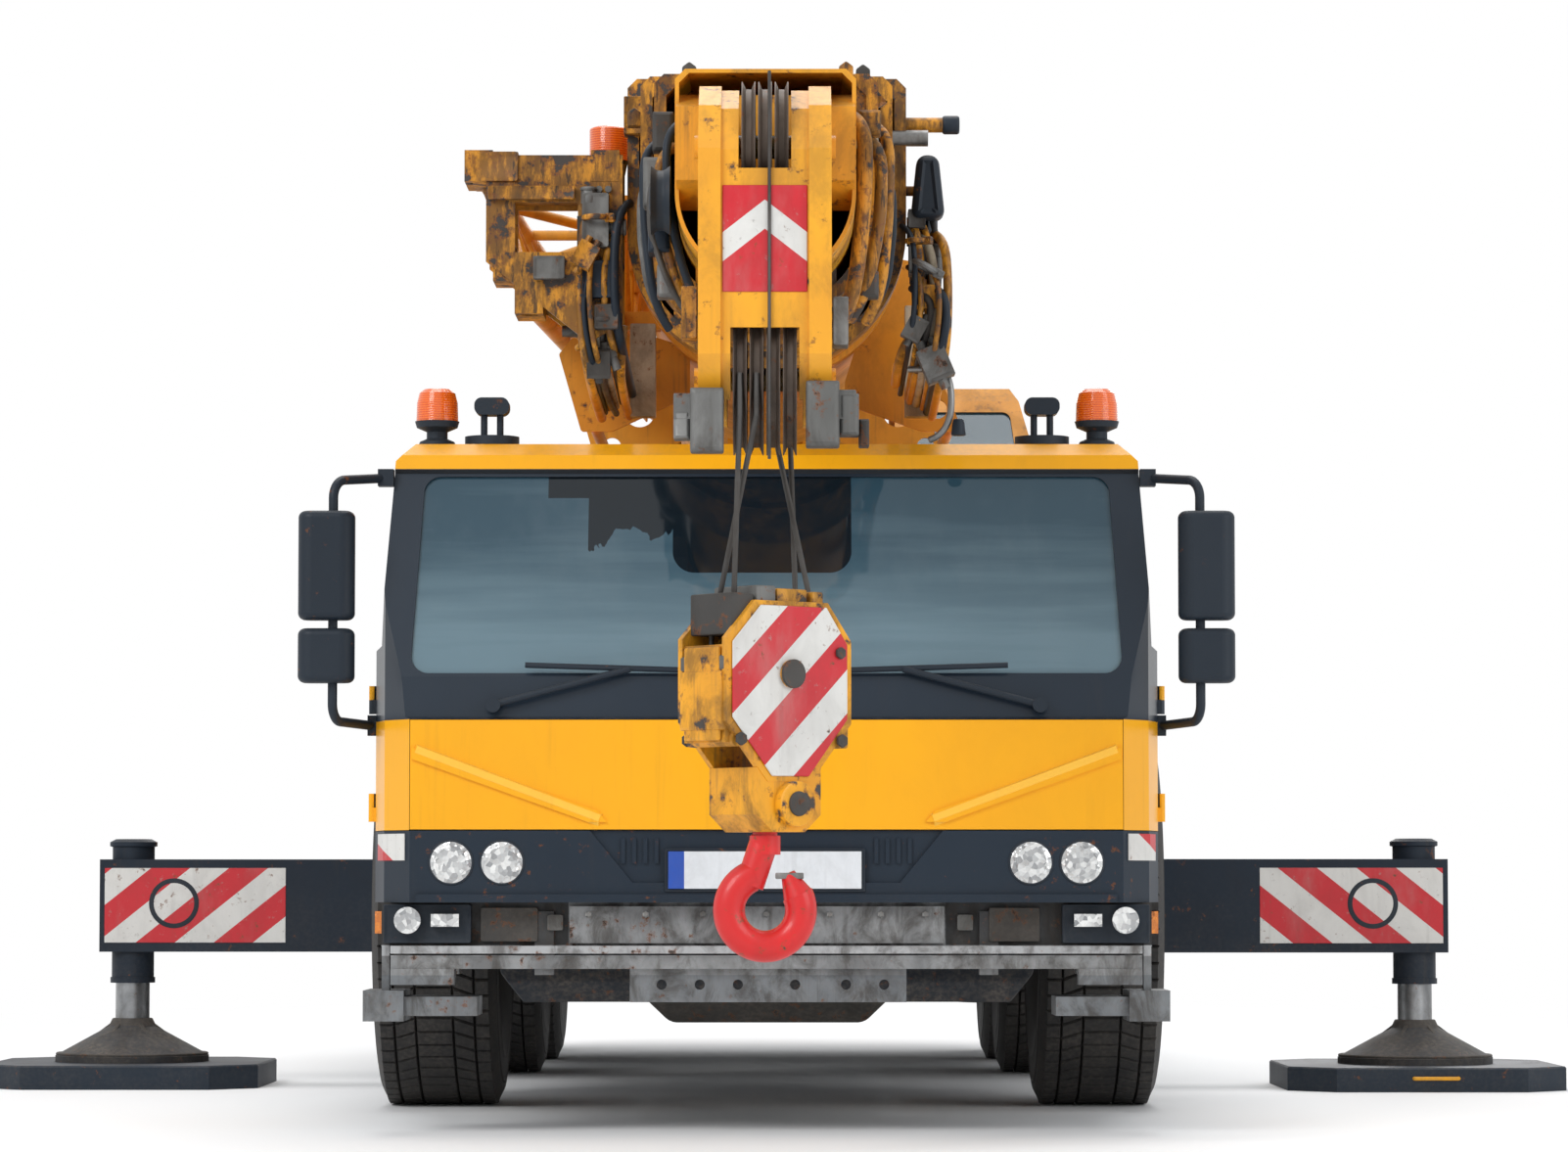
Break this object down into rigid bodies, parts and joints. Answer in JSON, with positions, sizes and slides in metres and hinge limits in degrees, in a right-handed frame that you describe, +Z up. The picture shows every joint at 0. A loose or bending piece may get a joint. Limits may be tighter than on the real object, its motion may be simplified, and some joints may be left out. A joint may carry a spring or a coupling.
{
  "type": "mobile crane",
  "caption": "All-terrain mobile crane with telescopic boom, lattice fly jib, slewing upper works, sliding outriggers, steered front axle and hook block.",
  "frame": {"origin": "on the ground, on the centre line, midway between the boom head and the counterweight's rear face", "axes": "-Y is the driving direction, +X the crane's left-hand side, +Z up"},
  "size_m": [6.085, 10.53, 3.355],
  "materials": {
    "aluminium": "brushed",
    "amber": "translucent",
    "black_plastic": "moulded",
    "boom_yellow": "worn satin paint",
    "cab_yellow": "gloss paint",
    "cast": "rough",
    "chrome": "polished",
    "dark_grey": "satin paint",
    "frame_grey": "satin paint",
    "galvanised": "weathered",
    "glass": "clear",
    "lamp": "clear lens",
    "red": "satin paint",
    "rim_paint": "satin paint",
    "rope": "greased",
    "rubber": "dusty",
    "seat_fabric": "woven",
    "steel": "oiled"
  },
  "bodies": {
    "carrier": {"chassis_frame": "frame_grey", "engine_block": "cast", "engine_hood": "cab_yellow", "deck_plates": "galvanised", "side_boxes": "frame_grey", "cab_shell": "cab_yellow", "cab_front_panel": "cab_yellow", "front_bumper": "dark_grey", "cab_glass": "glass", "cab_interior": "seat_fabric", "mirrors_and_wipers": "black_plastic", "roof_lamps": "black_plastic", "beacon_domes": "amber", "lamps": "lamp", "front_underbody": "aluminium", "axle_beams": "cast", "outrigger_mats": "dark_grey"},
    "cab_door_left": {"cab_door_left": "cab_yellow"},
    "cab_door_right": {"cab_door_right": "cab_yellow"},
    "knuckle_left": {"knuckle_left": "cast"},
    "knuckle_right": {"knuckle_right": "cast"},
    "superstructure": {"turntable": "boom_yellow", "counterweight": "boom_yellow", "power_pack": "boom_yellow", "operator_cab": "boom_yellow", "operator_pane": "glass", "operator_seat": "seat_fabric"},
    "operator_door": {"operator_door": "boom_yellow"},
    "winch_drum": {"winch_drum": "steel"},
    "boom_base": {"boom_base_section": "boom_yellow", "fly_jib": "boom_yellow"},
    "boom_section_2": {"boom_section_2": "boom_yellow"},
    "boom_section_3": {"boom_section_3": "boom_yellow"},
    "boom_tip": {"boom_tip_section": "boom_yellow", "head_sheaves": "cast"},
    "luff_barrel": {"luff_barrel": "boom_yellow"},
    "luff_rod": {"luff_rod": "chrome"},
    "hook_block": {"hook_block": "boom_yellow", "hoist_ropes": "rope"},
    "hook": {"hook": "red"},
    "wheel_1_left": {"tyre_1_left": "rubber", "rim_1_left": "rim_paint"},
    "wheel_1_right": {"tyre_1_right": "rubber", "rim_1_right": "rim_paint"},
    "wheel_2_left": {"tyre_2_left": "rubber", "rim_2_left": "rim_paint"},
    "wheel_2_right": {"tyre_2_right": "rubber", "rim_2_right": "rim_paint"},
    "wheel_3_left": {"tyre_3_left": "rubber", "rim_3_left": "rim_paint"},
    "wheel_3_right": {"tyre_3_right": "rubber", "rim_3_right": "rim_paint"},
    "beam_front_left": {"beam_front_left": "frame_grey"},
    "jack_front_left": {"jack_front_left": "chrome"},
    "beam_front_right": {"beam_front_right": "frame_grey"},
    "jack_front_right": {"jack_front_right": "chrome"},
    "beam_rear_left": {"beam_rear_left": "frame_grey"},
    "jack_rear_left": {"jack_rear_left": "chrome"},
    "beam_rear_right": {"beam_rear_right": "frame_grey"},
    "jack_rear_right": {"jack_rear_right": "chrome"}
  },
  "joints": [
    {"name": "wheel_1_left_roll", "type": "hinge", "parent": "knuckle_left", "child": "wheel_1_left", "pos_m": [1.16, -1.455, 0.69], "axis": [1, 0, 0], "continuous": true},
    {"name": "wheel_1_right_roll", "type": "hinge", "parent": "knuckle_right", "child": "wheel_1_right", "pos_m": [-1.16, -1.455, 0.69], "axis": [1, 0, 0], "continuous": true},
    {"name": "wheel_2_left_roll", "type": "hinge", "parent": "carrier", "child": "wheel_2_left", "pos_m": [1.16, 1.715, 0.69], "axis": [1, 0, 0], "continuous": true},
    {"name": "wheel_2_right_roll", "type": "hinge", "parent": "carrier", "child": "wheel_2_right", "pos_m": [-1.16, 1.715, 0.69], "axis": [1, 0, 0], "continuous": true},
    {"name": "wheel_3_left_roll", "type": "hinge", "parent": "carrier", "child": "wheel_3_left", "pos_m": [1.16, 3.365, 0.69], "axis": [1, 0, 0], "continuous": true},
    {"name": "wheel_3_right_roll", "type": "hinge", "parent": "carrier", "child": "wheel_3_right", "pos_m": [-1.16, 3.365, 0.69], "axis": [1, 0, 0], "continuous": true},
    {"name": "steer_left", "type": "hinge", "parent": "carrier", "child": "knuckle_left", "pos_m": [0.985, -1.455, 0.69], "axis": [0, 0, 1], "range_deg": [-30, 30]},
    {"name": "cab_door_left_hinge", "type": "hinge", "parent": "carrier", "child": "cab_door_left", "pos_m": [1.264, -3.445, 1.2], "axis": [0, 0, -1], "range_deg": [0, 70]},
    {"name": "steer_right", "type": "hinge", "parent": "carrier", "child": "knuckle_right", "pos_m": [-0.985, -1.455, 0.69], "axis": [0, 0, 1], "range_deg": [-30, 30]},
    {"name": "cab_door_right_hinge", "type": "hinge", "parent": "carrier", "child": "cab_door_right", "pos_m": [-1.264, -3.445, 1.2], "axis": [0, 0, 1], "range_deg": [0, 70]},
    {"name": "slew", "type": "hinge", "parent": "carrier", "child": "superstructure", "pos_m": [0, 1.715, 1.655], "axis": [0, 0, 1], "continuous": true},
    {"name": "operator_door_hinge", "type": "hinge", "parent": "superstructure", "child": "operator_door", "pos_m": [1.114, 2.19, 2.2], "axis": [0, 0, 1], "range_deg": [0, 80]},
    {"name": "winch_spin", "type": "hinge", "parent": "superstructure", "child": "winch_drum", "pos_m": [0, 4.695, 2.48], "axis": [1, 0, 0], "continuous": true},
    {"name": "luff", "type": "hinge", "parent": "superstructure", "child": "boom_base", "pos_m": [0, 3.665, 2.82], "axis": [-1, 0, 0], "range_deg": [0, 82]},
    {"name": "luff_barrel_pivot", "type": "hinge", "parent": "superstructure", "child": "luff_barrel", "pos_m": [0, 2.415, 1.94], "axis": [-1, 0, 0], "range_deg": [0, 85]},
    {"name": "luff_rod_slide", "type": "slide", "parent": "luff_barrel", "child": "luff_rod", "axis": [0, -0.9905, 0.1372], "range_m": [0, 2.01]},
    {"name": "telescope_2", "type": "slide", "parent": "boom_base", "child": "boom_section_2", "axis": [0, -1, 0], "range_m": [0, 6]},
    {"name": "telescope_3", "type": "slide", "parent": "boom_section_2", "child": "boom_section_3", "axis": [0, -1, 0], "range_m": [0, 6]},
    {"name": "telescope_tip", "type": "slide", "parent": "boom_section_3", "child": "boom_tip", "axis": [0, -1, 0], "range_m": [0, 6]},
    {"name": "hook_swing", "type": "hinge", "parent": "boom_tip", "child": "hook_block", "pos_m": [0, -5.029, 2.25], "axis": [1, 0, 0], "range_deg": [0, 82]},
    {"name": "hook_swivel", "type": "hinge", "parent": "hook_block", "child": "hook", "pos_m": [0, -5.029, 1.05], "axis": [0, 0, 1], "continuous": true},
    {"name": "beam_front_left_slide", "type": "slide", "parent": "carrier", "child": "beam_front_left", "axis": [1, 0, 0], "range_m": [-1.34, 0.25]},
    {"name": "jack_front_left_slide", "type": "slide", "parent": "beam_front_left", "child": "jack_front_left", "axis": [0, 0, -1], "range_m": [-0.1377, 0]},
    {"name": "beam_front_right_slide", "type": "slide", "parent": "carrier", "child": "beam_front_right", "axis": [-1, 0, 0], "range_m": [-1.34, 0.25]},
    {"name": "jack_front_right_slide", "type": "slide", "parent": "beam_front_right", "child": "jack_front_right", "axis": [0, 0, -1], "range_m": [-0.1377, 0]},
    {"name": "beam_rear_left_slide", "type": "slide", "parent": "carrier", "child": "beam_rear_left", "axis": [1, 0, 0], "range_m": [0, 1.59]},
    {"name": "jack_rear_left_slide", "type": "slide", "parent": "beam_rear_left", "child": "jack_rear_left", "axis": [0, 0, -1], "range_m": [0, 0.36]},
    {"name": "beam_rear_right_slide", "type": "slide", "parent": "carrier", "child": "beam_rear_right", "axis": [-1, 0, 0], "range_m": [0, 1.59]},
    {"name": "jack_rear_right_slide", "type": "slide", "parent": "beam_rear_right", "child": "jack_rear_right", "axis": [0, 0, -1], "range_m": [0, 0.36]}
  ],
  "couplings": [
    {"joint": "steer_right", "follows": "steer_left", "ratio": 1},
    {"joint": "luff_barrel_pivot", "follows": "luff", "ratio": 1.0315},
    {"joint": "luff_rod_slide", "follows": "luff", "m_per_rad": 1.3972},
    {"joint": "hook_swing", "follows": "luff", "ratio": 1},
    {"joint": "telescope_3", "follows": "telescope_2", "ratio": 1},
    {"joint": "telescope_tip", "follows": "telescope_2", "ratio": 1}
  ]
}
